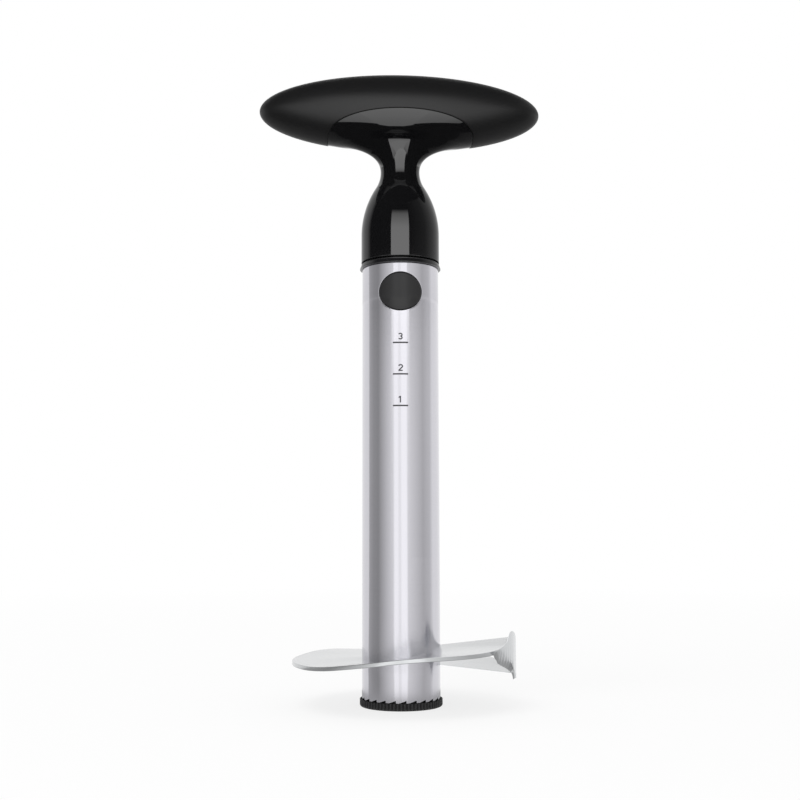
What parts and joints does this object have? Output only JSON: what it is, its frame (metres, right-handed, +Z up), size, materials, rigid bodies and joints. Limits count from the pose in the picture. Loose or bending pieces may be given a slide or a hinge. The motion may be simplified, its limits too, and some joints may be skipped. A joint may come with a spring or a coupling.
{
  "type": "pineapple slicer",
  "caption": "Hand pineapple slicer: toothed steel coring tube with a spiral slicing blade and peeling fin, turned by a ratcheting black T-handle that releases by side buttons.",
  "frame": {"origin": "centre of the tooth guard's flat bottom face, on the tube's axis", "axes": "+Z up along the tube's axis to the handle, -Y through the front release button, +X to the right of it, where the spiral blade starts"},
  "size_m": [0.1188, 0.0882, 0.2619],
  "materials": {
    "brushed_tube": "brushed along the tube",
    "blade_steel": "satin",
    "guard_plastic": "satin black with fine ribs",
    "plug_plastic": "semi-gloss black",
    "button_plastic": "matt dark grey",
    "handle_gloss": "polished black",
    "grip_rubber": "soft matt black",
    "screw_steel": "bright zinc",
    "spring_steel": "drawn wire",
    "ratchet_steel": "sintered",
    "bush_bronze": "sintered bronze"
  },
  "bodies": {
    "shaft": {"core_tube": "brushed_tube", "slicing_blade": "blade_steel", "peeling_fin": "blade_steel", "drive_plug": "plug_plastic", "plug_cover": "plug_plastic", "cover_screws": "screw_steel", "pawl_pins": "screw_steel", "pawl_leaf_a": "spring_steel", "pawl_leaf_b": "spring_steel", "pivot_bush": "bush_bronze", "thrust_washer": "screw_steel", "front_button_spring": "spring_steel", "rear_button_spring": "spring_steel"},
    "handle": {"handle_core": "handle_gloss", "soft_grip": "grip_rubber", "ratchet_ring": "ratchet_steel", "pivot_screw": "screw_steel", "pivot_washer": "screw_steel"},
    "front_button": {"front_button": "button_plastic"},
    "rear_button": {"rear_button": "button_plastic"},
    "pawl_a": {"pawl_a": "ratchet_steel"},
    "pawl_b": {"pawl_b": "ratchet_steel"},
    "guard": {"tooth_guard": "guard_plastic"}
  },
  "joints": [
    {"name": "handle_turn", "type": "hinge", "parent": "shaft", "child": "handle", "pos_m": [0, 0, 0.19], "axis": [0, 0, 1], "continuous": true},
    {"name": "front_button_press", "type": "slide", "parent": "shaft", "child": "front_button", "axis": [0, 1, 0], "range_m": [0, 0.0026], "stiffness_N_per_m": 600, "springref_m": -0.002, "deforming": ["front_button_spring"]},
    {"name": "rear_button_press", "type": "slide", "parent": "shaft", "child": "rear_button", "axis": [0, -1, 0], "range_m": [0, 0.0026], "stiffness_N_per_m": 600, "springref_m": -0.002, "deforming": ["rear_button_spring"]},
    {"name": "pawl_a_swing", "type": "hinge", "parent": "shaft", "child": "pawl_a", "pos_m": [0.00695, 0.00253, 0.186], "axis": [0, 0, 1], "range_deg": [0, 8.5], "stiffness_Nm_per_rad": 0.02, "springref_deg": -11.46, "deforming": ["pawl_leaf_a"]},
    {"name": "pawl_b_swing", "type": "hinge", "parent": "shaft", "child": "pawl_b", "pos_m": [-0.00695, -0.00253, 0.186], "axis": [0, 0, 1], "range_deg": [0, 8.5], "stiffness_Nm_per_rad": 0.02, "springref_deg": -11.46, "deforming": ["pawl_leaf_b"]},
    {"name": "guard_pull", "type": "slide", "parent": "shaft", "child": "guard", "axis": [0, 0, -1], "range_m": [0, 0.02]}
  ],
  "couplings": [
    {"joint": "pawl_b_swing", "follows": "pawl_a_swing", "ratio": 1}
  ]
}
